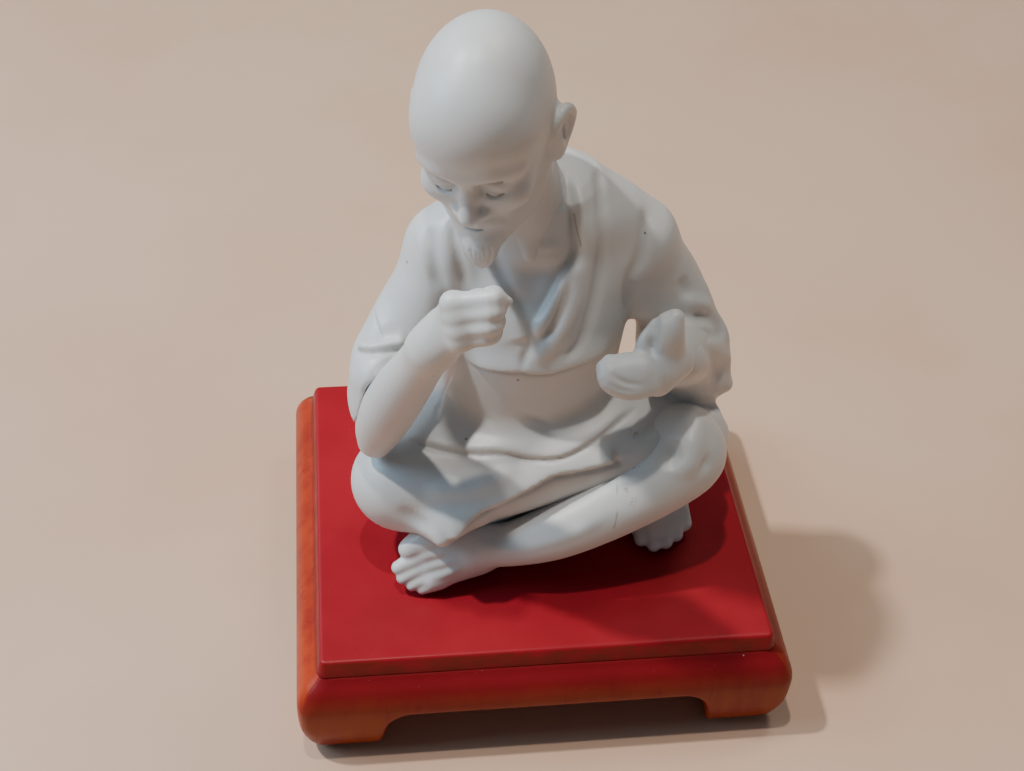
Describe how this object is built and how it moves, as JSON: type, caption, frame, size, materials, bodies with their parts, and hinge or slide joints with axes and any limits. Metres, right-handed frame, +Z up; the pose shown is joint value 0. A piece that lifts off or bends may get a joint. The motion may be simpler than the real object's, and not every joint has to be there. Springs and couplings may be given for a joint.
{
  "type": "seated scholar figurine on a stand",
  "caption": "Porcelain figurine of a bald bearded elder in a robe, seated cross-legged, resting on a red lacquered wooden stand with bracket feet.",
  "frame": {"origin": "middle of the stand's underside, on the floor", "axes": "+Z up, +X to the viewer's right, the figure faces -Y"},
  "size_m": [0.111, 0.098, 0.1589],
  "materials": {
    "porcelain": "unglazed satin white",
    "red_lacquer": "satin red lacquer",
    "bare_wood": "bare planed wood"
  },
  "bodies": {
    "stand": {"top_panel": "red_lacquer", "front_apron": "red_lacquer", "right_apron": "red_lacquer", "back_apron": "red_lacquer", "left_apron": "red_lacquer", "front_left_block": "bare_wood", "front_right_block": "bare_wood", "back_right_block": "bare_wood", "back_left_block": "bare_wood"},
    "figurine": {"robe_body": "porcelain", "head": "porcelain", "right_sleeve": "porcelain", "right_hand": "porcelain", "left_sleeve": "porcelain", "left_hand": "porcelain", "left_leg": "porcelain", "right_foot": "porcelain"}
  },
  "joints": [
    {"name": "figurine_lift", "type": "slide", "parent": "stand", "child": "figurine", "axis": [0, 0, 1], "range_m": [0, 0.06]}
  ]
}
